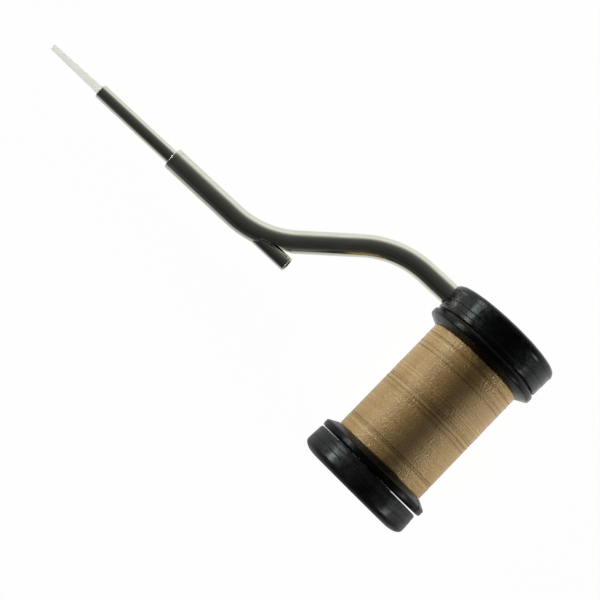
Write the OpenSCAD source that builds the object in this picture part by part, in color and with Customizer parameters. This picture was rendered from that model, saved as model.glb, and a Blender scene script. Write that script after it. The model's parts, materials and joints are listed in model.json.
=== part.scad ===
// Rotary thread bobbin holder: a bent steel arm with a straight thread tube in its front end,
// and a flanged spool of thread that turns on an axle between a round housing and a drag knob.
// It lies on a table as it does in use: on the rims of the spool and on the tip of the nozzle.
// +X runs from the nozzle to the spool, +Y along the axle from the knob to the housing, +Z is up.
// All sizes are in millimetres.

/* [Spool] */
// Diameter of the two flanges, the largest round of the tool
flange_d = 22; // [20:0.1:26]
// Thickness of one flange at its hub, rim and bevel together
flange_t = 2.15; // [1.8:0.05:3]
// Width of the straight rim of a flange
rim_w = 1.2; // [0.8:0.05:1.5]
// Radial width of the bevel that leads the thread off the rim
bevel_w = 1.8; // [1:0.05:2.2]
// Rounding of a flange's outer edges
rim_round = 0.4; // [0.1:0.05:0.45]
// Width of the wound thread between the flanges
thread_w = 23.1; // [16:0.1:30]
// Diameter over the wound thread
thread_d = 18.4; // [15:0.1:18.8]
// Outer diameter of the spool's core under the thread
core_d = 10; // [9:0.1:12]
// Width of the slit that parks the thread end
slit_w = 0.22; // [0.15:0.01:0.5]
// Depth of the slit in from the rim
slit_deep = 2.2; // [1:0.1:3]
// Place of the slit round the rim, from straight up towards the back, in degrees
slit_at = 60; // [0:1:180]

/* [Thread] */
// Loops of the outer layer
loops = 24; // [12:1:24]
// Diameter of one loop of the outer layer
turn_d = 0.48; // [0.3:0.01:0.5]
// Space between the outer layer and each flange
turn_end_gap = 0.1; // [0.05:0.01:0.5]

/* [Arm tube] */
// Outer diameter of the arm tube
arm_d = 4; // [3.8:0.1:5]
// Front straight, from its end face to the corner point of the first bend
arm_front = 20.45; // [15:0.05:30]
// Distance between the lines of the two end straights
arm_offset = 15.04; // [13:0.01:18]
// Rear straight, from the corner point of the second bend to the axle
arm_rear = 22.4; // [20:0.01:28]
// Angle of each bend
bend_angle = 40; // [34:1:50]
// Radius of each bend on the tube's centre line
bend_r = 17; // [12:0.5:18]
// Angle between the end straights and a line square to the axle
arm_lean = 1.2; // [0:0.1:3]
// How far the tube reaches past the axle inside the housing
arm_past = 2.9; // [2.2:0.1:4]

/* [Thread tube] */
// Outer diameter of the thread tube, which is the bore of the arm where it is seated
tube_d = 2.6; // [2.2:0.1:2.8]
// Wall of the thread tube
tube_wall = 0.3; // [0.2:0.05:0.4]
// Length that stands out in front of the arm
tube_front = 16.87; // [10:0.01:30]
// Length behind the corner point of the first bend, out of the arm's underside
tube_rear = 6.22; // [5:0.01:9]
// Length of the seat that holds the thread tube in the arm's front end
tube_seat = 10; // [5:0.5:12]

/* [Nozzle] */
// Length of the nozzle in front of the thread tube
nozzle_out = 11.35; // [6:0.01:20]
// Length of the nozzle's plug inside the thread tube
nozzle_plug = 4; // [2:0.1:6]
// How much wider than the thread tube's bore the seat of the plug is, all round
nozzle_seat = 0.05; // [0.02:0.01:0.08]
// Diameter at the tip
nozzle_tip_d = 1.15; // [1:0.01:1.4]
// Diameter where the nozzle meets the thread tube
nozzle_root_d = 1.56; // [1.3:0.01:1.8]
// Length of the flare at the root
nozzle_flare = 2.4; // [1:0.1:4]
// Diameter at the front of the flare
nozzle_neck_d = 1.38; // [1.2:0.01:1.5]
// Bore that the thread runs through
nozzle_bore = 0.6; // [0.4:0.01:0.7]
// Rounding of the tip's outer edge
nozzle_round = 0.2; // [0.1:0.01:0.22]

/* [Housing and knob] */
// How far the sides of the housing and of the knob stand inside the flanges' rims
cap_in = 0.15; // [0:0.05:0.5]
// Wall of the housing between the spool and the arm tube
wall_in = 0.95; // [0.8:0.05:1.6]
// Wall of the housing outside the arm tube
wall_out = 0.3; // [0.3:0.05:1.5]
// Thickness of the inner plates of the housing and the knob, up to their parting lines
plate_t = 2; // [1.8:0.05:2.2]
// Radius of the housing's outer edge
housing_round = 1.4; // [0.8:0.1:2.4]
// Thickness of the knob
knob_t = 4.6; // [4.4:0.05:6]
// Radius of the knob's outer edge
knob_round = 2.2; // [0.8:0.1:2.4]
// Depth of the fine grooves in the sides of both
groove_deep = 0.1; // [0.05:0.01:0.25]
// Width of the fine grooves at the surface
groove_w = 0.22; // [0.1:0.01:0.4]
// Place of the first fine groove, from the face next to the spool
groove_at = 0.95; // [0.7:0.05:1.2]
// Rounding of the edges next to the spool
edge_round = 0.35; // [0.1:0.05:0.45]

/* [Axle and drag] */
// Diameter of the axle inside the spool
axle_d = 6; // [5:0.1:7]
// Diameter of the pin that crosses the arm tube
spigot_d = 3; // [2.8:0.1:3.2]
// Depth of the axle's shoulder in the housing's plate
axle_seat = 0.6; // [0.3:0.05:0.65]
// Diameter of the axle's threaded end
stub_d = 4; // [3.6:0.1:4.4]
// Width across the two flats of the threaded end
stub_flats = 3.4; // [3:0.05:3.5]
// Thickness of the friction washer on the housing
friction_t = 0.25; // [0.15:0.01:0.4]
// How far the friction washer's edge stands inside the housing's side
friction_in = 0.3; // [0:0.05:1.5]
// Thickness of the plain washer on the spool's end
thrust_t = 0.4; // [0.3:0.05:0.6]
// Outer diameter of the three small drag washers
drag_d = 9.6; // [8.4:0.1:11]
// Height of the cone spring washer
spring_h = 0.7; // [0.5:0.05:0.9]
// Metal thickness of the cone spring washer
spring_t = 0.3; // [0.2:0.05:0.4]
// Thickness of the keyed washer
key_t = 0.5; // [0.4:0.05:0.7]
// Gap between the spool and the knob
knob_gap = 0.25; // [0.2:0.05:0.8]
// Outer diameter of the brass bush in the knob
bush_d = 6.4; // [5.8:0.1:7.5]
// Diameter of the bush's flange
bush_flange_d = 9; // [8.4:0.1:11]
// Thickness of the bush's flange
bush_flange_t = 0.9; // [0.6:0.05:1]
// End wall of the knob's cover
knob_end_wall = 1; // [0.8:0.05:1.05]
// Diameter of the hollow inside the knob's cover
knob_hollow_d = 16; // [13:0.5:17]
// Diameter of the housing screw's shank
screw_d = 2; // [1.8:0.1:2.2]
// Diameter of the screw's countersunk head
screw_head_d = 3.2; // [2.9:0.1:3.3]
// Length of the screw
screw_len = 4; // [3.4:0.1:4.4]
// Width across the flats of the screw's hexagon socket
socket_w = 1.3; // [1:0.1:1.4]

/* [Fits] */
// Radial clearance of what turns on the axle
run_gap = 0.05; // [0.02:0.01:0.08]
// Clearance round a piece that is held still in another
seat_gap = 0.02; // [0.01:0.01:0.04]
// Clearance of the arm's opening round the thread tube
exit_gap = 0.05; // [0.02:0.01:0.08]
// How far the centre of the arm's opening lies inward of the thread tube, towards the arm's rear part
exit_shift = 0.25; // [0.1:0.05:0.35]

/* [Hidden] */
$fn = 96;
over = 1;              // how far a cutting tool stands out of what it cuts
eps = 0.01;            // overlap of two cuts that meet
lap = 0.1;             // how far the arm's straights run into its bends
bend_swell = 0.02;     // how much fuller than the straights the bends are, all round
head_edge = 0.05;      // straight edge of the screw's head

// Diameters that follow the flanges
cap_d = flange_d - 2 * cap_in;
friction_d = cap_d - 2 * friction_in;

// Places along the axle, with 0 at the middle of the thread
spool_end = thread_w / 2 + flange_t;
plate_y = spool_end + run_gap + friction_t;
arm_y = plate_y + wall_in + arm_d / 2;
parting_y = plate_y + plate_t;
housing_t = wall_in + arm_d + wall_out;
housing_end = plate_y + housing_t;
shoulder_y = plate_y + axle_seat;
screw_head_h = head_edge + (screw_head_d - screw_d) / 2;
spigot_end = min(arm_y + arm_d / 2, housing_end - screw_head_h) - run_gap;
knob_y = spool_end + knob_gap;             // these lie on the knob's side, towards -Y
knob_end = knob_y + knob_t;
thrust_y = spool_end + run_gap;
spring_y = thrust_y + thrust_t;
key_y = spring_y + spring_h;
bush_y = key_y + key_t + run_gap;
axle_step = spool_end - run_gap;
knob_parting = knob_y + plate_t;
hollow_end = knob_end - knob_end_wall;
stub_end = hollow_end - run_gap * 2;

// The arm's route, in its own plane, with the axle at 0 and the nozzle towards -X
bend_run = bend_r * tan(bend_angle / 2);
mid_len = arm_offset / sin(bend_angle);
corner_1 = -(arm_rear + arm_offset / tan(bend_angle));
arm_front_end = corner_1 - arm_front;
tube_front_end = arm_front_end - tube_front;
tube_rear_end = corner_1 + tube_rear;
nozzle_end = tube_front_end - nozzle_out;
tube_bore = tube_d - 2 * tube_wall;
plug_d = tube_bore + 2 * nozzle_seat;
arm_bore = tube_d + 4 * exit_gap;

// How the tool lies: the flange and the round of the nozzle's tip both touch the table
tip_ring_r = nozzle_tip_d / 2 - nozzle_round;
tip_reach = -(nozzle_end + nozzle_round) * cos(arm_lean) - arm_offset * sin(arm_lean);
lay_angle = asin((flange_d / 2 - nozzle_round) / norm([tip_reach, tip_ring_r]))
          - atan2(tip_ring_r, tip_reach);
tip_slope = cos(arm_lean) * cos(lay_angle);
front_x = -tip_reach * cos(lay_angle) - tip_ring_r * sqrt(1 - tip_slope * tip_slope) - nozzle_round;
mid_x = (front_x + flange_d / 2) / 2;
mid_y = (housing_end - knob_end) / 2;

// The outer layer of thread: a helix of 24 rings to the loop, resting on the flats of the pack
rings = 24;
sides = 6;             // sides of the thread's section
turn_sink = 0.02;      // how far the outer layer beds into the pack
helix_r = (thread_d - turn_d) / 2;
helix_start = -thread_w / 2 + turn_end_gap + turn_d / 2;
pitch = (thread_w - 2 * turn_end_gap - turn_d) / loops;
pack_r = helix_r * cos(180 / rings) - turn_d / 2 * cos(180 / sides) + turn_sink;
least_gap = min([for (i = [0:rings:2 * rings], j = [rings - 4:rings + 4])
  norm(turn_axis(i + j) - turn_axis(i))]) - turn_d;

// Small sizes that follow no other
socket_deep = 0.6;     // depth of the screw's socket
peg_d = 1.6;           // pegs between the housing's halves
peg_h = 1.2;
peg_out = 6.5;         // distance of a peg from the axle
recess_gap = 0.4;      // room round the drag washers and the bush's flange
register_h = 0.4;      // rib that centres the knob's cover
friction_hole = 1;     // room between the friction washer and the axle

// Colours of the finishes
steel = [0.62, 0.62, 0.60];
black = [0.07, 0.07, 0.075];
tan_thread = [0.62, 0.49, 0.33];
brass = [0.76, 0.62, 0.32];
felt = [0.36, 0.33, 0.20];
milky = [0.88, 0.90, 0.84];

// Puts a piece from the tool's own frame on the table
module laid() {
  translate([-mid_x, -mid_y, flange_d / 2])
    rotate([0, -lay_angle, 0])
      children();
}

// Turns what is modelled along Z so that it lies along the axle
module along_axle(y = 0) {
  translate([0, y, 0])
    rotate([-90, 0, 0])
      children();
}

// The same for the knob's side, where a piece grows towards -Y
module along_knob(y = 0) {
  translate([0, -y, 0])
    rotate([90, 0, 0])
      children();
}

// The plane of the arm, leaned against the axle
module arm_plane() {
  translate([0, arm_y, 0])
    rotate([0, 0, arm_lean])
      children();
}

// A round bar on the arm's front line from x0 to x1
module front_bar(d, x0, x1) {
  translate([x0, -arm_offset, 0])
    rotate([0, 90, 0])
      cylinder(d = d, h = x1 - x0);
}

// One bend of the arm, a hair fuller than the straights that run into it
module bend_bar(d) {
  rotate_extrude(angle = bend_angle)
    translate([bend_r, 0])
      circle(d = d + 2 * bend_swell);
}

// A round bar along the arm's whole route, from front_x0 to rear_x1
module route_bar(d, front_x0, rear_x1) {
  bend_1 = corner_1 - bend_run;
  bend_2 = bend_run - arm_rear;
  front_bar(d, front_x0, bend_1 + lap);
  translate([bend_1, bend_r - arm_offset, 0])
    rotate([0, 0, -90])
      bend_bar(d);
  translate([corner_1, -arm_offset, 0])
    rotate([0, 0, bend_angle])
      translate([bend_run - lap, 0, 0])
        rotate([0, 90, 0])
          cylinder(d = d, h = mid_len - 2 * (bend_run - lap));
  translate([bend_2, -bend_r, 0])
    rotate([0, 0, 90])
      bend_bar(d);
  translate([bend_2 - lap, 0, 0])
    rotate([0, 90, 0])
      cylinder(d = d, h = rear_x1 - bend_2 + lap);
}

// Points of an arc in the [radius, height] plane of a turned piece
function arc(centre, r, from, to, steps = 8) =
  [for (i = [0:steps]) centre + r * [cos(from + (to - from) * i / steps), sin(from + (to - from) * i / steps)]];

// Points of a flange's rim in [radius, height], from its outer face at height 0 to the bevel's foot
function flange_rim() =
  let (bevel_turn = atan2(bevel_w, flange_t - rim_w), r = flange_d / 2 - rim_round)
  concat(arc([r, rim_round], rim_round, -90, 0, 5),
         arc([r, rim_w - rim_round * tan(bevel_turn / 2)], rim_round, 0, bevel_turn, 4),
         [[flange_d / 2 - bevel_w, flange_t]]);

// Points of the side of the housing or knob, from the face next to the spool to the parting line
function plate_side() =
  concat(arc([cap_d / 2 - edge_round, edge_round], edge_round, -90, 0, 4),
         [[cap_d / 2, groove_at - groove_w / 2],
          [cap_d / 2 - groove_deep, groove_at],
          [cap_d / 2, groove_at + groove_w / 2],
          [cap_d / 2, plate_t - groove_w / 2],
          [cap_d / 2 - groove_deep, plate_t]]);

// The same from the parting line to the outer face
function cover_side(t, edge) =
  concat([[cap_d / 2 - groove_deep, plate_t],
          [cap_d / 2, plate_t + groove_w / 2]],
         arc([cap_d / 2 - edge, t - edge], edge, 0, 90, 10));

// A flat ring along Z
module ring(outer, inner, t) {
  difference() {
    cylinder(d = outer, h = t);
    translate([0, 0, -over]) cylinder(d = inner, h = t + 2 * over);
  }
}

// Bent steel tube, bored through, with a seat for the thread tube and the opening where it leaves
module arm_tube() {
  laid() color(steel) difference() {
    arm_plane() route_bar(arm_d, arm_front_end, arm_past);
    arm_plane() route_bar(arm_bore, arm_front_end + tube_seat, arm_past + over);
    arm_plane() front_bar(tube_d, arm_front_end - over, arm_front_end + tube_seat + eps);
    arm_plane() front_bar(tube_d + 2 * exit_gap, arm_front_end + tube_seat, tube_rear_end + over);
    arm_plane() translate([0, exit_shift, 0])
      front_bar(tube_d + 2 * (exit_gap + exit_shift), corner_1, tube_rear_end + over);
    along_axle(arm_y - arm_d) cylinder(d = spigot_d + 2 * seat_gap, h = 2 * arm_d);
  }
}

// Thin steel tube that guides the thread, cut square at both ends, with a seat for the nozzle's plug
module thread_tube() {
  laid() color(steel) arm_plane() difference() {
    front_bar(tube_d, tube_front_end, tube_rear_end);
    front_bar(tube_bore, tube_front_end - over, tube_rear_end + over);
    front_bar(plug_d, tube_front_end - over, tube_front_end + nozzle_plug);
  }
}

// Tapered white nozzle, plugged into the thread tube
module nozzle() {
  laid() color(milky) arm_plane()
    translate([nozzle_end, -arm_offset, 0]) rotate([0, 90, 0]) rotate_extrude() polygon(concat(
      [[nozzle_bore / 2, nozzle_round / 2]],
      arc([nozzle_tip_d / 2 - nozzle_round, nozzle_round], nozzle_round, -90, 0, 5),
      [[nozzle_neck_d / 2, nozzle_out - nozzle_flare],
       [nozzle_root_d / 2, nozzle_out],
       [plug_d / 2, nozzle_out],
       [plug_d / 2, nozzle_out + nozzle_plug],
       [nozzle_bore / 2, nozzle_out + nozzle_plug]]));
}

// The room that the arm takes in the housing
module arm_channel() {
  arm_plane()
    translate([-cap_d / 2 - over, 0, 0]) rotate([0, 90, 0])
      cylinder(d = arm_d + 2 * seat_gap, h = cap_d / 2 + over + arm_past + seat_gap);
}

// The two pegs that line the housing's halves up, one on each side of the arm
module pegs(d, h) {
  for (side = [-1, 1])
    translate([0, side * peg_out, 0]) cylinder(d = d, h = h);
}

// Inner half of the housing: the wall next to the spool, which carries the axle's shoulder
module housing_plate() {
  laid() color(black) difference() {
    along_axle(plate_y) {
      rotate_extrude() polygon(concat([[0, 0]], plate_side(), [[0, plate_t]]));
      translate([0, 0, plate_t]) pegs(peg_d, peg_h);
    }
    arm_channel();
    along_axle(plate_y - over) cylinder(d = axle_d + 2 * seat_gap, h = axle_seat + over);
    along_axle(plate_y) cylinder(d = spigot_d + 2 * seat_gap, h = plate_t + over);
  }
}

// Outer half of the housing, with the rounded edge and the countersink of the screw
module housing_cover() {
  laid() color(black) difference() {
    along_axle(plate_y)
      rotate_extrude() polygon(concat([[0, plate_t]], cover_side(housing_t, housing_round), [[0, housing_t]]));
    arm_channel();
    along_axle(parting_y - eps) pegs(peg_d + 2 * seat_gap, peg_h + seat_gap + eps);
    along_axle(parting_y - over) cylinder(d = spigot_d + 2 * seat_gap, h = spigot_end + seat_gap - parting_y + over);
    along_axle(housing_end) screw_shape(seat_gap, over);
  }
}

// Countersunk screw shape with its head's face at 0, pointing towards -Z
module screw_shape(gap, above) {
  translate([0, 0, -head_edge]) cylinder(d = screw_head_d + 2 * gap, h = head_edge + above);
  translate([0, 0, -screw_head_h])
    cylinder(d1 = screw_d + 2 * gap, d2 = screw_head_d + 2 * gap, h = screw_head_h - head_edge);
  translate([0, 0, -screw_len]) cylinder(d = screw_d + 2 * gap, h = screw_len - screw_head_h + eps);
}

// Countersunk screw through the cover into the axle
module housing_screw() {
  laid() color(steel) along_axle(housing_end) difference() {
    screw_shape(0, 0);
    translate([0, 0, -socket_deep]) cylinder(d = socket_w / cos(30), h = socket_deep + over, $fn = 6);
  }
}

// Steel axle: a pin that crosses the arm, a shoulder, the spool's journal and a flatted threaded end
module axle() {
  laid() color(steel) difference() {
    union() {
      along_axle(-axle_step) cylinder(d = axle_d, h = axle_step + shoulder_y);
      along_axle(shoulder_y - eps) cylinder(d = spigot_d, h = spigot_end - shoulder_y + eps);
      along_knob(axle_step - eps) intersection() {
        cylinder(d = stub_d, h = stub_end - axle_step + eps);
        translate([-stub_flats / 2, -stub_d, 0]) cube([stub_flats, 2 * stub_d, stub_end]);
      }
    }
    along_axle(housing_end - screw_len - seat_gap)
      cylinder(d = screw_d + 2 * seat_gap, h = screw_len);
  }
}

// Thin fibre washer glued to the housing, on which the spool rubs
module friction_washer() {
  laid() color(felt) along_axle(plate_y - friction_t) ring(friction_d, axle_d + 2 * friction_hole, friction_t);
}

// Moulded spool with bevelled flanges and the slit for the thread end
module spool() {
  rim = flange_rim();
  lower = [for (p = rim) [p[0], p[1] - spool_end]];
  upper = [for (i = [len(rim) - 1:-1:0]) [rim[i][0], spool_end - rim[i][1]]];
  bore_r = axle_d / 2 + run_gap;
  laid() color(black) along_axle() difference() {
    rotate_extrude() polygon(concat(
      [[bore_r, -spool_end]], lower,
      [[core_d / 2, -thread_w / 2], [core_d / 2, thread_w / 2]],
      upper, [[bore_r, spool_end]]));
    rotate([0, 0, slit_at - 90])
      translate([flange_d / 2 - slit_deep, -slit_w / 2, -spool_end - over])
        cube([slit_deep + over, slit_w, flange_t + over]);
  }
}

// The inner layers of thread, wound solid on the core
module thread_pack() {
  laid() color(tan_thread) along_axle(-thread_w / 2) ring(2 * pack_r, core_d, thread_w);
}

// One point on the surface of the outer layer: ring i along the helix, side k round the thread
function turn_axis(i) =
  let (a = 360 * i / rings)
  [helix_r * cos(a), helix_r * sin(a), helix_start + pitch * i / rings];
function turn_point(i, k) =
  let (a = 360 * i / rings,
       out = [cos(a), sin(a), 0],
       ahead = [-2 * PI * helix_r * sin(a), 2 * PI * helix_r * cos(a), pitch],
       side = cross(ahead / norm(ahead), out))
  turn_axis(i) + turn_d / 2 * (cos((k + 0.5) * 360 / sides) * out + sin((k + 0.5) * 360 / sides) * side);

// The outer layer of thread as one unbroken helix
module thread_turns() {
  n = loops * rings;
  points = [for (i = [0:n], k = [0:sides - 1]) turn_point(i, k)];
  walls = [for (i = [0:n - 1], k = [0:sides - 1])
    let (a = sides * i + k, b = sides * i + (k + 1) % sides)
    each [[a, a + sides, b + sides], [a, b + sides, b]]];
  ends = [[for (k = [0:sides - 1]) k], [for (k = [sides - 1:-1:0]) sides * n + k]];
  laid() color(tan_thread) along_axle() polyhedron(points, concat(walls, ends), convexity = 10);
}

// Plain washer between the spool's end and the spring
module thrust_washer() {
  laid() color(milky) along_knob(thrust_y) ring(drag_d, stub_d + 2 * seat_gap, thrust_t);
}

// Cone spring washer that presses the spool on the friction washer
module spring_washer() {
  rise = spring_h - spring_t;
  hole_r = stub_d / 2 + run_gap;
  laid() color(steel) along_knob(spring_y)
    rotate_extrude() polygon([[hole_r, rise], [drag_d / 2, 0], [drag_d / 2, spring_t], [hole_r, spring_h]]);
}

// Washer keyed to the axle's flats, so that the turning spool can't turn the knob
module key_washer() {
  laid() color(steel) along_knob(key_y) difference() {
    cylinder(d = drag_d, h = key_t);
    translate([0, 0, -over]) intersection() {
      cylinder(d = stub_d + 2 * run_gap, h = key_t + 2 * over);
      translate([-stub_flats / 2 - run_gap, -stub_d, 0])
        cube([stub_flats + 2 * run_gap, 2 * stub_d, key_t + 2 * over]);
    }
  }
}

// Inner half of the knob, with the recess of the drag washers and the seat of the bush
module knob_plate() {
  laid() color(black) difference() {
    along_knob(knob_y) {
      rotate_extrude() polygon(concat([[0, 0]], plate_side(), [[0, plate_t]]));
      translate([0, 0, plate_t]) ring(knob_hollow_d - 2 * seat_gap, bush_flange_d + 2 * recess_gap, register_h);
    }
    along_knob(knob_y - over) cylinder(d = drag_d + 2 * recess_gap, h = bush_y - knob_y + over);
    along_knob(knob_y) cylinder(d = bush_d, h = plate_t + over);
  }
}

// Outer half of the knob, a cup over the bush and the axle's end
module knob_cover() {
  laid() color(black) difference() {
    along_knob(knob_y)
      rotate_extrude() polygon(concat([[0, plate_t]], cover_side(knob_t, knob_round), [[0, knob_t]]));
    along_knob(knob_parting - over) cylinder(d = knob_hollow_d, h = hollow_end - knob_parting + over);
  }
}

// Brass bush that carries the knob on the axle's thread
module knob_bush() {
  laid() color(brass) difference() {
    union() {
      along_knob(bush_y) cylinder(d = bush_d, h = knob_parting - bush_y + eps);
      along_knob(knob_parting) cylinder(d = bush_flange_d, h = bush_flange_t);
    }
    along_knob(bush_y - over) cylinder(d = stub_d + 2 * run_gap, h = knob_t + over);
  }
}

echo(least_gap_between_loops = least_gap);
echo(lay_angle = lay_angle, mid = [mid_x, mid_y], size = [flange_d / 2 - front_x, housing_end + knob_end, flange_d]);

arm_tube();
thread_tube();
nozzle();
housing_plate();
housing_cover();
housing_screw();
axle();
friction_washer();
spool();
thread_pack();
thread_turns();
thrust_washer();
spring_washer();
key_washer();
knob_plate();
knob_cover();
knob_bush();
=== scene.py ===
import json
import math

import bmesh
import bpy
from mathutils import Matrix, Vector


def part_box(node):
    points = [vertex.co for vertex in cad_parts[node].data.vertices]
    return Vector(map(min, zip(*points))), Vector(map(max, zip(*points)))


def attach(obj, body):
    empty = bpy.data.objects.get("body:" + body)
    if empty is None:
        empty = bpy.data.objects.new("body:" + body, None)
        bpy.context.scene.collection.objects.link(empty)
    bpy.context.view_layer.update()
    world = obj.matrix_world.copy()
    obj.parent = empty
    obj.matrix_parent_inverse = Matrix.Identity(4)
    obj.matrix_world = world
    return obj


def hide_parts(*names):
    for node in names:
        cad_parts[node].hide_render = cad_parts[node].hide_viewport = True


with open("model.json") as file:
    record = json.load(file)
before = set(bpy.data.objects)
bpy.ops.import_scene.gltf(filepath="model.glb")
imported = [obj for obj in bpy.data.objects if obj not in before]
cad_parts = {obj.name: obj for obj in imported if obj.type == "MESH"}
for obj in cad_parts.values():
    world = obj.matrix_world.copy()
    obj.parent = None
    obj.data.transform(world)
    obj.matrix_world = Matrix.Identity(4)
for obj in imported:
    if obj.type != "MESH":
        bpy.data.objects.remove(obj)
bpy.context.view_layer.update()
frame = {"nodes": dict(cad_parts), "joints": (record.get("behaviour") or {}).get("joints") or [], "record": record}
mm = 0.001

# Camera: a long lens nearly straight above the tool, which lies on its spool's rims and its nozzle's tip.
# Its place, turn and lens were fitted to the outline of the real one.
scene = bpy.context.scene
eye = bpy.data.objects.new("eye", bpy.data.cameras.new("eye"))
scene.collection.objects.link(eye)
eye.location = (-4.194 * mm, -16.912 * mm, 250.304 * mm)
eye.rotation_euler = [math.radians(a) for a in (0.0891, -4.9584, 44.5131)]
eye.data.lens = 87
eye.data.sensor_width = 36
eye.data.clip_start = 10 * mm
scene.camera = eye
scene.view_settings.view_transform = "Standard"


# Table: plain white board under the tool. It shines white into the lens and through the nozzle, and keeps
# a faint shadow. The polished steel sees its glow fade away on the tool's near side: painted shade, put into
# the board's reflection alone.
class Wire:
    """A socket of a node tree. Sums and products of wires add Math nodes, and add() makes any other node."""

    def __init__(self, tree, socket=None):
        self.tree = tree
        self.socket = socket

    def add(self, kind, settings=None, inputs=None, output=0):
        node = self.tree.nodes.new(kind)
        for key, value in (settings or {}).items():
            if key == "stops":
                set_stops(node.color_ramp, value)
            else:
                setattr(node, key, value)
        for key, value in (inputs or {}).items():
            if isinstance(value, Wire):
                self.tree.links.new(value.socket, node.inputs[key])
            else:
                node.inputs[key].default_value = value
        return Wire(self.tree, node.outputs[output] if node.outputs else None)

    def math(self, operation, *others):
        return self.add("ShaderNodeMath", {"operation": operation}, dict(enumerate((self, *others))))

    def __add__(self, other):
        return self.math("ADD", other)

    def __mul__(self, other):
        return self.math("MULTIPLY", other)

    def __sub__(self, other):
        return self.math("SUBTRACT", other)

    def __truediv__(self, other):
        return self.math("DIVIDE", other)

    def __rsub__(self, other):
        return self.add("ShaderNodeMath", {"operation": "SUBTRACT"}, {0: other, 1: self})

    __radd__ = __add__
    __rmul__ = __mul__


def set_stops(ramp, stops):
    """Gives a colour ramp its stops: (place, grey) pairs from left to right."""
    for element, (place, grey) in zip(ramp.elements, (stops[0], stops[-1])):
        element.position, element.color = place, (grey, grey, grey, 1)
    for place, grey in stops[1:-1]:
        ramp.elements.new(place).color = (grey, grey, grey, 1)


def shader_tree(owner):
    """An emptied node tree of a material or world, as a wire to start from."""
    owner.use_nodes = True
    owner.node_tree.nodes.clear()
    return Wire(owner.node_tree)


table_z = -0.02 * mm
table_half = 1.6
corners = [(x * table_half, y * table_half, table_z) for x, y in ((-1, -1), (1, -1), (1, 1), (-1, 1))]
table_mesh = bpy.data.meshes.new("table")
table_mesh.from_pydata(corners, [], [(0, 1, 2, 3)])
table = bpy.data.objects.new("table", table_mesh)
scene.collection.objects.link(table)
board = bpy.data.materials.new("white_board")
start = shader_tree(board)
glow_share = 0.9
glow_level = 1.08
fading_width = 0.2
mirrored = start.add("ShaderNodeLightPath", output="Is Glossy Ray")
through = start.add("ShaderNodeLightPath", output="Is Transmission Ray")
seen = start.add("ShaderNodeLightPath", output="Is Camera Ray") * glow_share
seen = seen.math("MAXIMUM", through).math("MAXIMUM", mirrored)
place = start.add("ShaderNodeTexCoord", output="Object")
far = start.add("ShaderNodeSeparateXYZ", inputs={0: place}, output="Y") / fading_width + 0.5
# Painted shade in the gloss: the board's glow, as reflections see it, darkens towards the tool's near side.
painted_shade_in_gloss = start.add("ShaderNodeValToRGB", {
    "stops": [(0.2, 0.04), (0.33, 0.16), (0.43, 0.5), (0.53, 0.9), (0.6, 1.0)]}, {0: far})
paper = start.add("ShaderNodeBsdfDiffuse", inputs={"Color": (0.9, 0.9, 0.89, 1)})
glow = start.add("ShaderNodeEmission", inputs={
    "Color": (1, 1, 1, 1), "Strength": mirrored * (painted_shade_in_gloss * 0.96 - glow_level) + glow_level})
both = start.add("ShaderNodeMixShader", inputs={0: seen, 1: paper, 2: glow})
start.add("ShaderNodeOutputMaterial", inputs={"Surface": both})
table_mesh.materials.append(board)

# Light: two soft boxes that show in the gloss alone, for the spool's highlights, two low ones that light
# the surfaces alone, and a room that is bright low down on the tool's far side and dim overhead. The lens
# sees the room as white, and so does the nozzle.
world = bpy.data.worlds.new("room")
scene.world = world
start = shader_tree(world)
dimmer = 0.7
through = start.add("ShaderNodeLightPath", output="Is Transmission Ray")
seen = start.add("ShaderNodeLightPath", output="Is Camera Ray").math("MAXIMUM", through)
spread = start.add("ShaderNodeLightPath", output="Is Diffuse Ray")
toward = start.add("ShaderNodeTexCoord", output="Generated")
far = start.add("ShaderNodeSeparateXYZ", inputs={0: toward}, output="Y")
rise = start.add("ShaderNodeSeparateXYZ", inputs={0: toward}, output="Z")
by_rise = start.add("ShaderNodeValToRGB", {
    "stops": [(0.0, 1.0), (0.18, 0.76), (0.4, 0.3), (0.6, 0.12), (0.8, 0.09), (1.0, 0.07)]}, {0: rise})
by_side = start.add("ShaderNodeValToRGB", {
    "stops": [(0.0, 0.05), (0.1, 0.16), (0.25, 0.38), (0.5, 0.62), (0.85, 1.0)]}, {0: far * 0.5 + 0.5})
level = by_rise * by_side * (1 - spread * dimmer)
room = start.add("ShaderNodeBackground", inputs={
    "Color": (1, 1, 1, 1), "Strength": seen * (1 - level) + level})
start.add("ShaderNodeOutputWorld", inputs={"Surface": room})


def softbox(name, azimuth, elevation, width, height, radiance, glossy, distance=0.8):
    """A rectangle of light that looks at the tool. It shows in the gloss alone, or lights the surfaces alone.

    Azimuth 0 stands on the +X side and 90 on the +Y side."""
    data = bpy.data.lights.new(name, "AREA")
    data.shape = "RECTANGLE"
    data.size, data.size_y = width, height
    data.color = (0.96, 1, 0.98)
    data.energy = radiance * math.pi * width * height
    lamp = bpy.data.objects.new(name, data)
    scene.collection.objects.link(lamp)
    a, e = math.radians(azimuth), math.radians(elevation)
    lamp.location = distance * Vector((math.cos(a) * math.cos(e), math.sin(a) * math.cos(e), math.sin(e)))
    lamp.rotation_euler = lamp.location.to_track_quat("Z", "Y").to_euler()
    lamp.visible_camera = False
    lamp.visible_glossy = glossy
    lamp.visible_diffuse = not glossy


softbox("softbox_front", 180, 17, 0.7, 0.12, 11, True)
softbox("softbox_rear", -14, 24, 0.44, 0.14, 5, True)
softbox("low_box_front", 180, 2.5, 0.7, 0.1, 60, False)
softbox("low_box_rear", 0, 2.5, 0.7, 0.1, 54, False)

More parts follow.
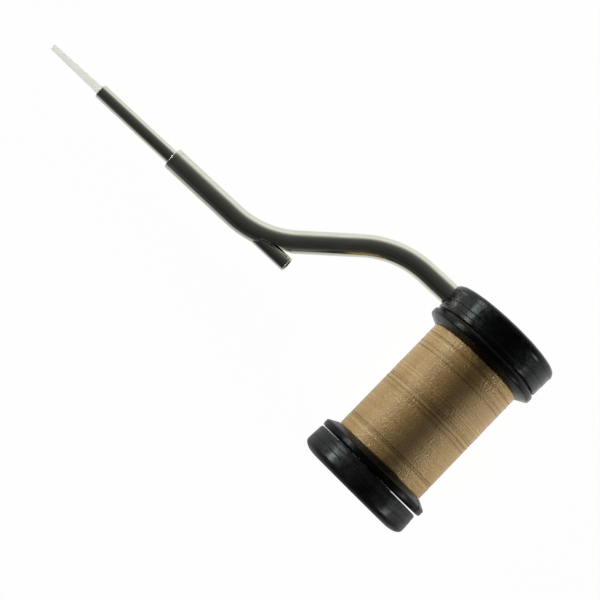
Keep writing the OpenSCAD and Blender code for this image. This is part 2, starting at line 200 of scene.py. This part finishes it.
# Arm tube: a stainless tube 4 mm across, cold bent twice by 40 degrees and polished along its length.
# Its front end holds the thread tube, its rear end is clamped in the housing.
mouth = frame["record"]["mounts"][0]
axle = Vector(next(j for j in frame["joints"] if j["name"] == "spool_spin")["pos_m"])
up_axle = Vector((0, 1, 0))
along = -Vector(mouth["axis"])
across = (up_axle - along * along.y).normalized()
arm_front = 20.45 * mm
arm_offset = 15.04 * mm
arm_rear = 22.4 * mm
arm_past = 2.9 * mm
arm_d = 4 * mm
arm_wall = 0.6 * mm
wall_in = 0.95 * mm
bend_r = 17 * mm
bend_angle = math.radians(40)
tube_d = 2.6 * mm
tube_front = 16.87 * mm
tube_rear = 6.22 * mm
tube_seat = 10 * mm
over_axle = axle + (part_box("housing_plate")[0].y - axle.y + wall_in + arm_d / 2) * up_axle
corner_2 = over_axle - arm_rear * along
slope = math.cos(bend_angle) * along + math.sin(bend_angle) * across
corner_1 = corner_2 - arm_offset / math.sin(bend_angle) * slope
arm_start = corner_1 - arm_front * along
arm_end = over_axle + arm_past * along
tube_start = arm_start - tube_front * along


def new_piece(name, mesh, finish, body, slot, *nodes):
    """Links a finished mesh as a piece that rides on a body and stands for the given nodes."""
    piece = bpy.data.objects.new(name, mesh)
    scene.collection.objects.link(piece)
    mesh.materials.clear()
    mesh.materials.append(finish)
    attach(piece, body)
    if nodes:
        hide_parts(*nodes)
    return piece


def grown(name, tree, values, mesh):
    """The mesh that a Geometry Nodes tree makes of another mesh, with its named inputs set by identifier."""
    seedling = bpy.data.objects.new(name, mesh)
    scene.collection.objects.link(seedling)
    form = seedling.modifiers.new("form", "NODES")
    form.node_group = tree
    for item in tree.interface.items_tree:
        if item.item_type == "SOCKET" and item.name in values:
            form[item.identifier] = values[item.name]
    seedling.update_tag()
    result = bpy.data.meshes.new_from_object(seedling.evaluated_get(bpy.context.evaluated_depsgraph_get()))
    seedling.modifiers.clear()
    bpy.data.objects.remove(seedling)
    result.name = name
    return result


def nodes_tree(name, sockets):
    """A Geometry Nodes tree with the given named inputs, and a wire for each of them."""
    tree = bpy.data.node_groups.new(name, "GeometryNodeTree")
    tree.interface.new_socket("Geometry", in_out="OUTPUT", socket_type="NodeSocketGeometry")
    for socket, kind in sockets.items():
        tree.interface.new_socket(socket, in_out="INPUT", socket_type="NodeSocket" + kind)
    inside = tree.nodes.new("NodeGroupInput")
    return tree, {socket: Wire(tree, inside.outputs[socket]) for socket in sockets}


def finish_tree(shape, finish):
    """Ends a tree: smooth faces, real geometry, one material."""
    shape = shape.add("GeometryNodeSetShadeSmooth", inputs={"Geometry": shape})
    shape = shape.add("GeometryNodeRealizeInstances", inputs={"Geometry": shape})
    shape = shape.add("GeometryNodeSetMaterial", inputs={"Geometry": shape, "Material": finish})
    shape.add("NodeGroupOutput", inputs={"Geometry": shape})


def swept(route, radius, sides, caps, flatness=1.0):
    """Sweeps a circle along a curve and keeps the way along and around it as attributes."""
    circle = route.add("GeometryNodeCurvePrimitiveCircle", inputs={"Resolution": sides, "Radius": radius})
    if flatness != 1:
        circle = route.add("GeometryNodeTransform", inputs={
            "Geometry": circle, "Scale": (flatness, 1.0, 1.0)})
    turn = route.add("GeometryNodeSplineParameter", output="Factor")
    circle = route.add("GeometryNodeStoreNamedAttribute", {"data_type": "FLOAT", "domain": "POINT"},
                       {"Geometry": circle, "Name": "around", "Value": turn})
    way = route.add("GeometryNodeSplineParameter", output="Length")
    route = route.add("GeometryNodeStoreNamedAttribute", {"data_type": "FLOAT", "domain": "POINT"},
                      {"Geometry": route, "Name": "along", "Value": way})
    return route.add("GeometryNodeCurveToMesh", inputs={
        "Curve": route, "Profile Curve": circle, "Fill Caps": caps})


def bent_bar_tree():
    """A round bar along a polyline whose corners are filleted to one bend radius."""
    tree, given = nodes_tree("bent_bar", {"Route": "Geometry", "Diameter": "Float", "Bend radius": "Float",
                                          "Steps in a bend": "Int", "Sides": "Int", "Finish": "Material"})
    route = given["Route"].add("GeometryNodeMeshToCurve", inputs={"Mesh": given["Route"]})
    route = route.add("GeometryNodeFilletCurve", {"mode": "POLY"},
                      {"Curve": route, "Count": given["Steps in a bend"], "Radius": given["Bend radius"]})
    finish_tree(swept(route, given["Diameter"] / 2, given["Sides"], True), given["Finish"])
    return tree


def polyline(name, points):
    """A mesh of edges from point to point."""
    mesh = bpy.data.meshes.new(name)
    mesh.from_pydata([tuple(p) for p in points], [(i, i + 1) for i in range(len(points) - 1)], [])
    return mesh


def spun(name, start, direction, outline, steps=192, on_line=1e-7):
    """Turns a closed outline of (radius, height) points about the line from start along direction.

    A point whose radius is under on_line lies on the line itself."""
    z = direction.normalized()
    x = z.orthogonal().normalized()
    y = z.cross(x)
    turns = [2 * math.pi * i / steps for i in range(steps)]
    spokes = [x * math.cos(a) + y * math.sin(a) for a in turns]
    shape = bmesh.new()
    rings = []
    for radius, height in outline:
        count = 1 if radius < on_line else steps
        rings.append([shape.verts.new(start + z * height + radius * spoke) for spoke in spokes[:count]])
    for a, b in zip(rings, rings[1:] + rings[:1]):
        if len(a) == len(b) == 1:
            continue
        for i in range(steps):
            j = (i + 1) % steps
            corners = [a[i % len(a)], a[j % len(a)], b[j % len(b)], b[i % len(b)]]
            shape.faces.new(list(dict.fromkeys(corners)))
    bmesh.ops.recalc_face_normals(shape, faces=shape.faces)
    mesh = bpy.data.meshes.new(name)
    shape.to_mesh(mesh)
    shape.free()
    return smoothed(mesh)


def smoothed(mesh, angle=28):
    """Smooth faces, with sharp edges where the surface turns by more than the angle."""
    mesh.polygons.foreach_set("use_smooth", [True] * len(mesh.polygons))
    mesh.set_sharp_from_angle(angle=math.radians(angle))
    return mesh


def eased(*corners, steps=5, nearly_flat=1.56):
    """An outline of (radius, height, rounding) corners in millimetres as (radius, height) points in metres.

    A corner whose half angle is over nearly_flat radians isn't rounded."""
    points = []
    for i, (r, h, rounding) in enumerate(corners):
        here = Vector((r, h))
        back = Vector(corners[i - 1][:2]) - here
        on = Vector(corners[(i + 1) % len(corners)][:2]) - here
        half = back.angle(on) / 2
        if rounding == 0 or half > nearly_flat:
            points.append(here * mm)
            continue
        centre = here + (back.normalized() + on.normalized()).normalized() * rounding / math.sin(half)
        first = here + back.normalized() * rounding / math.tan(half) - centre
        last = here + on.normalized() * rounding / math.tan(half) - centre
        turn = first.angle_signed(last)
        for k in range(steps + 1):
            a = -turn * k / steps
            points.append((centre + Vector((first.x * math.cos(a) - first.y * math.sin(a),
                                            first.x * math.sin(a) + first.y * math.cos(a)))) * mm)
    return [tuple(p) for p in points]


def carved(mesh, *tools):
    """The mesh with the tools' solids cut out of it."""
    body = bpy.data.objects.new("blank", mesh)
    scene.collection.objects.link(body)
    cutters = []
    for i, tool in enumerate(tools):
        cutter = bpy.data.objects.new(f"cutter_{i}", tool)
        scene.collection.objects.link(cutter)
        cut = body.modifiers.new(f"cut_{i}", "BOOLEAN")
        cut.operation, cut.solver, cut.object = "DIFFERENCE", "EXACT", cutter
        cutters.append(cutter)
    result = bpy.data.meshes.new_from_object(body.evaluated_get(bpy.context.evaluated_depsgraph_get()))
    result.name = mesh.name
    body.modifiers.clear()
    for left in [body, *cutters]:
        bpy.data.objects.remove(left)
    return smoothed(result)


def rod(name, start, direction, diameter, length, steps=96):
    """A plain round solid, for cutting."""
    radius = diameter / 2
    return spun(name, start, direction, [(0, 0), (radius, 0), (radius, length), (0, length)], steps)


def domed(radius, height, wide, high, steps=10):
    """Corners of an elliptical edge in millimetres, from the side at the radius to the face at the height."""
    turns = [math.pi / 2 * i / steps for i in range(steps + 1)]
    rise = math.copysign(high, height)
    return [(radius - wide * (1 - math.cos(a)), height - rise * (1 - math.sin(a)), 0) for a in turns]


def mottle(where, per_mm, detail, roughness=0.5):
    """Noise over the given places, with so many blotches to the millimetre."""
    return where.add("ShaderNodeTexNoise", inputs={
        "Vector": where, "Scale": per_mm / mm, "Detail": detail, "Roughness": roughness})


def new_finish(name):
    """A material and its wire to start from."""
    material = bpy.data.materials.new(name)
    return material, shader_tree(material)


def closed_finish(start, **sockets):
    """Ends a material: one Principled shader with the given sockets, whose names have _ for a space."""
    surface = start.add("ShaderNodeBsdfPrincipled",
                        inputs={key.replace("_", " "): value for key, value in sockets.items()})
    start.add("ShaderNodeOutputMaterial", inputs={"Surface": surface})


def blend_colours(start, factor, a, b):
    """The colour between a and b at the factor."""
    return start.add("ShaderNodeMix", {"data_type": "RGBA"}, {0: factor, 6: (*a, 1), 7: (*b, 1)}, 2)


def drawn_steel(name, colour, roughness, scratches):
    """Polished tube: fine marks along its length, faint cloudy polish, a few tiny pits and softened edges."""
    marks_per_mm = 0.025
    marks_round = 12
    softened = 0.06 * mm
    material, start = new_finish(name)
    way = start.add("ShaderNodeAttribute", {"attribute_name": "along"}, output="Fac")
    turn = start.add("ShaderNodeAttribute", {"attribute_name": "around"}, output="Fac")
    angle = turn * (2 * math.pi)
    place = start.add("ShaderNodeCombineXYZ", inputs={
        0: angle.math("COSINE"), 1: angle.math("SINE"), 2: way * (marks_per_mm / mm)})
    marks = start.add("ShaderNodeTexNoise", inputs={
        "Vector": place, "Scale": marks_round, "Detail": 5, "Roughness": 0.7})
    marks = start.add("ShaderNodeValToRGB", {"stops": [(0.3, 0.0), (0.7, 1.0)]}, {0: marks})
    where = start.add("ShaderNodeTexCoord", output="Object")
    cloud = mottle(where, 0.7, 3)
    pits = start.add("ShaderNodeTexVoronoi", inputs={"Vector": where, "Scale": 0.6 / mm})
    pits = start.add("ShaderNodeValToRGB", {"stops": [(0.0, 0.0), (0.06, 1.0)]}, {0: pits})
    height = marks * scratches + pits * 0.8
    edges = start.add("ShaderNodeBevel", {"samples": 4}, {"Radius": softened})
    bump = start.add("ShaderNodeBump",
                     inputs={"Strength": 0.2, "Distance": 0.006 * mm, "Height": height, "Normal": edges})
    tint = blend_colours(start, marks, [c * 0.75 for c in colour], [c * 1.08 for c in colour])
    closed_finish(start, Base_Color=tint, Metallic=1.0, Normal=bump,
                  Roughness=marks * 0.08 + cloud * 0.06 + roughness)
    return material


arm_steel = drawn_steel("polished_arm_steel", (0.78, 0.79, 0.67), 0.07, 1.0)
bent_bar = bent_bar_tree()
bar_values = {
    "Diameter": arm_d, "Bend radius": bend_r, "Steps in a bend": 40, "Sides": 96, "Finish": arm_steel}
arm_route = polyline("arm_route", [arm_start, corner_1, corner_2, arm_end])
arm_mesh = grown("arm_tube_polished", bent_bar, bar_values, arm_route)
hollow_start, hollow_end = arm_start + tube_seat * along, arm_end + mm * along
hollow_route = polyline("hollow_route", [hollow_start, corner_1, corner_2, hollow_end])
hollow = grown("arm_hollow", bent_bar, {**bar_values, "Diameter": arm_d - 2 * arm_wall}, hollow_route)
exit_gap = 0.05 * mm
exit_shift = 0.38 * mm
exit_run = 10 * mm
arm_r = arm_d / 2 / mm
broken = 0.14
file_past = 0.3
file_cut = spun("file_cut", arm_start, along, eased(
    (arm_r - broken, -0.2, 0), (arm_r + file_past, -0.2, 0), (arm_r + file_past, broken, 0),
    *domed(arm_r + 0.002, -0.001, broken, broken)), 96)
seat_cut = rod("seat", arm_start - mm * along, along, tube_d, tube_seat + 1.01 * mm)
opening = rod("opening", hollow_start, along, tube_d + 2 * exit_gap, arm_front + exit_run)
wide_opening = rod("wide_opening", corner_1 + exit_shift * across, along,
                   tube_d + 2 * (exit_gap + exit_shift), exit_run)
arm_mesh = carved(arm_mesh, hollow, file_cut, seat_cut, opening, wide_opening)
new_piece("arm_tube_polished", arm_mesh, arm_steel, "arm", "polished_steel", "arm_tube")

# Thread tube: thin stainless tube pressed into the arm's front end. It guides the thread past the first
# bend. Its ends are cut off and lightly broken, the rear one a little askew.
tube_wall = 0.3 * mm
tube_length = (tube_front + arm_front + tube_rear) / mm
nozzle_plug = 4
nozzle_seat = 0.05
bore = (tube_d / 2 - tube_wall) / mm
seat = bore + nozzle_seat
outer = tube_d / 2 / mm
thread_tube_mesh = spun("thread_tube_polished", tube_start, along, eased(
    (seat, 0, 0.04), (outer, 0, 0.1), (outer, tube_length, 0.1), (bore, tube_length, 0.08),
    (bore, nozzle_plug, 0), (seat, nozzle_plug, 0)), 96)
askew = math.tan(math.radians(5))
askew_from = (tube_length - 0.5) * mm
above = along.cross(across)
for corner in thread_tube_mesh.vertices:
    if (corner.co - tube_start).dot(along) > askew_from:
        corner.co -= (outer * mm + (corner.co - tube_start).dot(above)) * askew * along
tube_steel = drawn_steel("polished_tube_steel", (0.78, 0.79, 0.68), 0.06, 0.8)
new_piece("thread_tube_polished", thread_tube_mesh, tube_steel, "arm", "tube_steel", "thread_tube")

# Nozzle: turned from a milky, slippery plastic that doesn't cut the thread, with a rounded mouth.
# Its plug is pressed into the thread tube.
mouth_r = mouth["dims"]["r_mm"]
nozzle_out = 11.35
nozzle_tip = tube_start - nozzle_out * mm * along
nozzle_mesh = spun("nozzle_milky", nozzle_tip, along, eased(
    (mouth_r, 0.04, 0.05), (0.4, 0, 0.12), (0.56, 0.3, 0.3), (0.69, nozzle_out - 2.4, 1.2),
    (0.78, nozzle_out, 0.02), (seat, nozzle_out, 0.02),
    (seat, nozzle_out + nozzle_plug, 0.05), (mouth_r, nozzle_out + nozzle_plug, 0.05)), 96)
milky, start = new_finish("milky_plastic")
where = start.add("ShaderNodeTexCoord", output="Object")
haze = mottle(where, 0.4, 2)
skin = start.add("ShaderNodeBump", inputs={
    "Strength": 0.08, "Distance": 0.004 * mm, "Height": mottle(where, 8, 2)})
closed_finish(start, Base_Color=blend_colours(start, haze, (0.95, 0.96, 0.89), (0.985, 0.99, 0.93)),
              Roughness=haze * 0.06 + 0.1, Normal=skin, Transmission_Weight=0.92, IOR=1.14)
new_piece("nozzle_milky", nozzle_mesh, milky, "arm", "milky_nozzle", "nozzle")

# Housing: two black mouldings that clamp the arm's rear end between them. The inner plate has a fine groove
# and meets the outer cover in a second one. The sides have a slight draft and end in a narrow lip. Radii and
# heights are in millimetres from here on, and heights count from the axle's middle.
cap_r = (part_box("housing_cover")[1].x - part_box("housing_cover")[0].x) / 2 / mm
plate_low = (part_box("housing_plate")[0].y - axle.y) / mm
parting = (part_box("housing_cover")[0].y - axle.y) / mm
cover_top = (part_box("housing_cover")[1].y - axle.y) / mm
groove_half = 0.09
groove_at = 0.95
edge_round = 0.35
plate_t = 2
groove_deep = 0.07
pin_hole_r = 1.52


def about_axle(where):
    """How far up the axle a place is, how far away from the axle, and how far to one side of it."""
    offset = where.add("ShaderNodeMapping", inputs={"Vector": where, "Location": -axle})
    x, up, z = (where.add("ShaderNodeSeparateXYZ", inputs={0: offset}, output=i) for i in range(3))
    return up, (x * x + z * z).math("SQRT"), z + x


def satin_black(name, colour, roughness, shine):
    """Moulded black plastic: satin skin, fine rings left by the tool, soft scuffs."""
    ring_wander = 0.12
    material, start = new_finish(name)
    where = start.add("ShaderNodeTexCoord", output="Object")
    up, away, aside = about_axle(where)
    rings = start.add("ShaderNodeCombineXYZ", inputs={0: up, 1: away, 2: aside * ring_wander})
    rings = mottle(rings, 5, 4, 0.7)
    grain = mottle(where, 3, 4, 0.65)
    scuffs = mottle(where, 0.7, 6, 0.7)
    scuffs = start.add("ShaderNodeValToRGB", {"stops": [(0.35, 0.0), (0.5, 0.4), (0.62, 1.0)]}, {0: scuffs})
    height = rings * 0.9 + grain * 1.3
    bump = start.add("ShaderNodeBump", inputs={"Strength": 0.5, "Distance": 0.02 * mm, "Height": height})
    tint = blend_colours(start, scuffs, colour, [c * 2.2 for c in colour])
    closed_finish(start, Base_Color=tint, Roughness=scuffs * 0.24 + rings * 0.16 + roughness,
                  Normal=bump, Specular_IOR_Level=shine, Specular_Tint=(0.9, 1, 0.97, 1))
    return material


def side_of_plate(low, draft):
    """The side of a plate from its face next to the spool to the parting groove."""
    middle = cap_r - draft / 2
    return [(cap_r - draft, low, edge_round), (middle, low + groove_at - groove_half, 0.03),
            (middle - 0.06, low + groove_at, 0.02), (middle, low + groove_at + groove_half, 0.03),
            (cap_r, low + plate_t - groove_half, 0.04), (cap_r - groove_deep, low + plate_t, 0)]


housing_black = satin_black("housing_black", (0.0012, 0.0012, 0.0012), 0.06, 0.32)
shoulder_r = 3.02
shoulder_top = plate_low + 0.6
plate_mesh = spun("housing_plate_moulded", axle, up_axle, eased(
    (shoulder_r, plate_low, 0.05), *side_of_plate(plate_low, 0.07),
    (pin_hole_r, parting, 0), (pin_hole_r, shoulder_top, 0), (shoulder_r, shoulder_top, 0)), 256)
head_r = 1.62
head_bottom = cover_top - 0.67
shank_r = 1.02
pin_top = head_bottom - 0.05
lip_top = cover_top - 0.9
lip_r = cap_r + 0.11
dome_r = cap_r - 0.03
cover_mesh = spun("housing_cover_moulded", axle, up_axle, eased(
    (pin_hole_r, parting, 0), (cap_r - groove_deep, parting, 0), (cap_r + 0.02, parting + groove_half, 0.04),
    (cap_r + 0.04, lip_top - 0.75, 0.3), (lip_r, lip_top - 0.5, 0.2), (lip_r, lip_top, 0.04),
    (dome_r, lip_top + 0.03, 0.02), *domed(dome_r, cover_top, 1.5, 0.82),
    (head_r, cover_top, 0.06), (head_r, cover_top - 0.07, 0), (shank_r, head_bottom, 0),
    (shank_r, pin_top, 0), (pin_hole_r, pin_top, 0), steps=8), 256)
channel_d = arm_d + 0.36 * mm
channel_run = 16 * mm
channel_start = arm_end - channel_run * along
for half, mesh in (("housing_plate", plate_mesh), ("housing_cover", cover_mesh)):
    channel = rod(half + "_channel", channel_start, along, channel_d, channel_run + 0.05 * mm, 128)
    new_piece(half + "_moulded", carved(mesh, channel), housing_black, "arm", "black_housing", half)

# Friction washer: punched from thin oiled fibre and glued to the housing. The spool rubs on it.
washer_low, washer_high = ((v.y - axle.y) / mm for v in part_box("friction_washer"))
washer_in = 4
washer_out = 9.9
washer_mesh = spun("friction_washer_fibre", axle, up_axle, eased(
    (washer_in, washer_low, 0.02), (washer_out, washer_low, 0.06), (washer_out, washer_high, 0.02),
    (washer_in, washer_high, 0.02)))
fibre, start = new_finish("oiled_fibre")
where = start.add("ShaderNodeTexCoord", output="Object")
strands = mottle(where, 3, 6, 0.7)
nap = start.add("ShaderNodeBump", inputs={"Strength": 0.5, "Distance": 0.02 * mm, "Height": strands})
closed_finish(start, Base_Color=blend_colours(start, strands, (0.03, 0.026, 0.012), (0.10, 0.085, 0.038)),
              Roughness=strands * 0.2 + 0.7, Normal=nap)
new_piece("friction_washer_fibre", washer_mesh, fibre, "arm", "fibre_washer", "friction_washer")

# Spool: moulded in one piece, with a slim rim and a conical bevel on each flange.
# The slit in the flange on the knob's side parks the thread's end.
spool_end = (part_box("spool")[1].y - axle.y) / mm
flange_r = (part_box("spool")[1].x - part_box("spool")[0].x) / 2 / mm
flange_t = 2.15
rim_w = 1.2
bevel_w = 1.8
rim_round = 0.4
spool_bore_r = 3.05
core_r = 5
thread_half = spool_end - flange_t
spool_black = satin_black("spool_black", (0.0006, 0.0006, 0.0006), 0.07, 0.22)
spool_mesh = spun("spool_moulded", axle, up_axle, eased(
    (spool_bore_r, -spool_end, 0.1), (flange_r, -spool_end, rim_round),
    (flange_r, -spool_end + rim_w, rim_round), (flange_r - bevel_w, -thread_half, 0.1),
    (core_r, -thread_half, 0.1), (core_r, thread_half, 0.1), (flange_r - bevel_w, thread_half, 0.1),
    (flange_r, spool_end - rim_w, rim_round), (flange_r, spool_end, rim_round),
    (spool_bore_r, spool_end, 0.1)), 256)


def block(name, middle, *halves):
    """A box about its middle, given its three half edges as vectors, for cutting."""
    shape = bmesh.new()
    place = Matrix.Translation(middle) @ Matrix(halves).transposed().to_4x4()
    bmesh.ops.create_cube(shape, size=2, matrix=place)
    mesh = bpy.data.meshes.new(name)
    shape.to_mesh(mesh)
    shape.free()
    return mesh


slit_turn = math.radians(60)
slit_out = math.cos(slit_turn) * above + math.sin(slit_turn) * up_axle.cross(above)
slit_deep = 2.2
slit_half_run = 2
slit_half_h = flange_t / 2 + 0.5
slit_half_w = 0.16
slit_middle = (axle + (flange_r - slit_deep + slit_half_run) * mm * slit_out
               - (spool_end + 1 - slit_half_h) * mm * up_axle)
slit = block("slit", slit_middle, slit_half_run * mm * slit_out, slit_half_h * mm * up_axle,
             slit_half_w * mm * slit_out.cross(up_axle))
new_piece("spool_moulded", carved(spool_mesh, slit), spool_black, "spool", "black_spool", "spool")

# Inside: the axle through the spool, the screw, the washers of the drag and the knob's bush, all turned or
# punched. The thrust washer is of a white plastic that slips on the spool.
def turned_metal(name, colour, roughness):
    """Turned or punched metal with fine rings about the axle."""
    material, start = new_finish(name)
    up, away = about_axle(start.add("ShaderNodeTexCoord", output="Object"))[:2]
    rings = mottle(start.add("ShaderNodeCombineXYZ", inputs={0: up, 1: away, 2: 0.0}), 16, 3)
    bump = start.add("ShaderNodeBump", inputs={"Strength": 0.25, "Distance": 0.006 * mm, "Height": rings})
    tint = blend_colours(start, rings, [c * 0.85 for c in colour], colour)
    closed_finish(start, Base_Color=tint, Metallic=1.0, Roughness=rings * 0.15 + roughness, Normal=bump)
    return material


def finish_node(node, finish):
    """Gives a carried-over node its material."""
    piece = frame["nodes"][node]
    piece.data.materials.clear()
    piece.data.materials.append(finish)


turned_steel = turned_metal("turned_steel", (0.60, 0.60, 0.59), 0.2)
for node in ("axle", "spring_washer", "key_washer"):
    finish_node(node, turned_steel)
finish_node("housing_screw", turned_steel)
finish_node("knob_bush", turned_metal("turned_brass", (0.72, 0.52, 0.24), 0.24))
slippery, start = new_finish("white_washer_plastic")
cloud = mottle(start.add("ShaderNodeTexCoord", output="Object"), 2, 3)
closed_finish(start, Base_Color=blend_colours(start, cloud, (0.72, 0.72, 0.68), (0.8, 0.8, 0.77)),
              Roughness=cloud * 0.1 + 0.45)
finish_node("thrust_washer", slippery)

# Knob: two black mouldings of the same form as the housing, on the axle's thread. Turning it presses the
# drag. It sits a hair off the axle and askew, as a moulded knob on a short thread does.
knob_low = -(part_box("knob_plate")[1].y - axle.y) / mm
knob_parting = -(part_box("knob_cover")[1].y - axle.y) / mm
knob_end = -(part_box("knob_cover")[0].y - axle.y) / mm - 0.08
bush_low = -(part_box("knob_bush")[1].y - axle.y) / mm
well_r = 5.2
bush_r = 3.2
peg_in = 4.9
peg_out = 7.98
peg_end = knob_parting + 0.4
hollow_r = 8
hollow_end = knob_end - 0.9
knob_shift = -0.22 * mm
knob_tilt = math.radians(-0.48)
down_axle = -up_axle
# Painted light: the knob's black is lighter than the housing's, to stand in for light on its rounded ends.
knob_black_painted_light = satin_black("knob_black_painted_light", (0.005, 0.005, 0.005), 0.09, 0.36)
knob_plate_mesh = spun("knob_plate_moulded", axle, down_axle, eased(
    (well_r, knob_low, 0.08), *side_of_plate(knob_low, 0.14), (peg_out, knob_parting, 0),
    (peg_out, peg_end, 0.05), (peg_in, peg_end, 0.05), (peg_in, knob_parting, 0), (bush_r, knob_parting, 0),
    (bush_r, bush_low, 0), (well_r, bush_low, 0)), 256)
knob_cover_mesh = spun("knob_cover_moulded", axle, down_axle, eased(
    (hollow_r, knob_parting, 0), (cap_r - groove_deep, knob_parting, 0),
    (cap_r + 0.02, knob_parting + groove_half, 0.04), *domed(cap_r + 0.04, knob_end, 2.8, 1.35),
    (0, knob_end, 0), (0, hollow_end, 0), (hollow_r, hollow_end, 0.2), steps=8), 256)
hinge = axle - 15 * mm * up_axle
sits = (Matrix.Translation(hinge + Vector((knob_shift, 0, 0))) @ Matrix.Rotation(knob_tilt, 4, "Z")
        @ Matrix.Translation(-hinge))
for half, mesh in (("knob_plate", knob_plate_mesh), ("knob_cover", knob_cover_mesh)):
    mesh.transform(sits)
    new_piece(half + "_moulded", mesh, knob_black_painted_light, "knob", "black_knob", half)

# Thread: fine twisted tying thread with a waxy shine, wound in close turns by machine.
# A few turns stand proud where the guide has jumped, and a few have sunk between the others. The proud
# turns are also painted lighter and the sunk ones darker: painted highlight and painted shade.
turns = 112
strand_d = 0.24
wound_low = 9.15
wound_high = 9.13
flattened = 0.3
proud_above = 0.91
sunk_below = 0.08


def winding_tree():
    """Close turns of a strand round +Z, with uneven spacing and height, from a given number of turns."""
    one_line = {"noise_dimensions": "1D"}
    tree, given = nodes_tree("winding", {
        "Turns": "Int", "Steps": "Int", "Width": "Float", "Radius low": "Float", "Radius high": "Float",
        "Strand": "Float", "Sides": "Int", "Seed": "Float", "Proud": "Float", "Sunk": "Float",
        "Finish": "Material"})
    base = given["Turns"]
    route = base.add("GeometryNodeCurvePrimitiveLine")
    route = base.add("GeometryNodeResampleCurve", {"mode": "COUNT"},
                     {"Curve": route, "Count": given["Turns"] * given["Steps"] + 1})
    turn = base.add("GeometryNodeInputIndex") / given["Steps"]
    share = turn / given["Turns"]
    drift = base.add("ShaderNodeTexNoise", one_line, {
        "W": turn * 1.7 + given["Seed"], "Scale": 1.0, "Detail": 2})
    lift = base.add("ShaderNodeTexNoise", one_line, {
        "W": turn * 2.3 + (given["Seed"] + 50), "Scale": 1.0, "Detail": 3})
    whole = turn.math("FLOOR") + given["Seed"]
    odd = base.add("ShaderNodeTexWhiteNoise", one_line, {"W": whole}, "Value")
    tone = base.add("ShaderNodeTexWhiteNoise", one_line, {"W": whole + 0.5}, "Value")
    up, down = odd.math("GREATER_THAN", proud_above), odd.math("LESS_THAN", sunk_below)
    # Painted light and shade: a proud turn's tone is lighter and a sunk turn's darker, on top of the random tone.
    tone = tone * 0.2 + 0.4 + (up - down) * 0.5
    jump = up * given["Proud"] - down * given["Sunk"]
    radius = given["Radius low"] + (given["Radius high"] - given["Radius low"]) * share
    radius = radius - given["Strand"] / 2 + (lift - 0.5) * given["Strand"] * 0.06 + jump
    height = (share - 0.5) * (given["Width"] - given["Strand"])
    height = height + (drift - 0.5) * given["Strand"] * 0.4
    angle = turn * (2 * math.pi)
    place = base.add("ShaderNodeCombineXYZ",
                     inputs={0: angle.math("COSINE") * radius, 1: angle.math("SINE") * radius, 2: height})
    route = base.add("GeometryNodeSetPosition", inputs={"Geometry": route, "Position": place})
    route = base.add("GeometryNodeSetCurveNormal", {"mode": "Z_UP"}, {"Curve": route})
    route = base.add("GeometryNodeStoreNamedAttribute", {"data_type": "FLOAT", "domain": "POINT"},
                     {"Geometry": route, "Name": "tone", "Value": tone})
    shape = swept(route, given["Strand"] / 2, given["Sides"], True, flattened)
    shape = base.add("GeometryNodeTransform", inputs={
        "Geometry": shape, "Rotation": (math.radians(-90), 0.0, 0.0), "Translation": axle})
    finish_tree(shape, given["Finish"])
    return tree


tan_thread, start = new_finish("tan_tying_thread")
way = start.add("ShaderNodeAttribute", {"attribute_name": "along"}, output="Fac")
turn = start.add("ShaderNodeAttribute", {"attribute_name": "around"}, output="Fac")
tone = start.add("ShaderNodeAttribute", {"attribute_name": "tone"}, output="Fac")
lay = 0.8 * mm
ply = ((turn - way / lay) * (2 * math.pi)).math("SINE").math("ABSOLUTE")
where = start.add("ShaderNodeTexCoord", output="Object")
fuzz = mottle(where, 2.6, 3, 0.7)
curls = mottle(where, 3.2, 1)
twist = start.add("ShaderNodeBump", inputs={
    "Strength": 1.0, "Distance": 0.13 * mm, "Height": curls + ply * 0.05})
# The base colour carries the random tone and the painted light and shade of the proud and sunk turns.
tan = blend_colours(start, tone * 0.6 + fuzz * 0.4, (0.14, 0.076, 0.018), (0.52, 0.32, 0.115))
closed_finish(start, Base_Color=tan, Metallic=0.1, Roughness=fuzz * 0.1 + 0.16, Normal=twist, IOR=1.8,
              Specular_IOR_Level=1.0, Specular_Tint=(1, 0.9, 0.7, 1))
thread_mesh = grown("thread_wound", winding_tree(), {
    "Turns": turns, "Steps": 64, "Width": 2 * thread_half * mm, "Radius low": wound_low * mm,
    "Radius high": wound_high * mm, "Strand": strand_d * mm, "Sides": 6, "Seed": 7.0, "Proud": 0.05 * mm,
    "Sunk": 0.06 * mm, "Finish": tan_thread}, polyline("thread_start", [(0, 0, 0), (0, 0, mm)]))
new_piece("thread_wound", thread_mesh, tan_thread, "spool", "tan_thread", "thread_turns")
under_top = 0.2
core_mesh = spun("thread_inside", axle, up_axle, eased(
    (core_r, -thread_half, 0), (wound_low - under_top, -thread_half, 0.05),
    (wound_high - under_top, thread_half, 0.05), (core_r, thread_half, 0)))
new_piece("thread_inside", core_mesh, tan_thread, "spool", "tan_thread", "thread_pack")
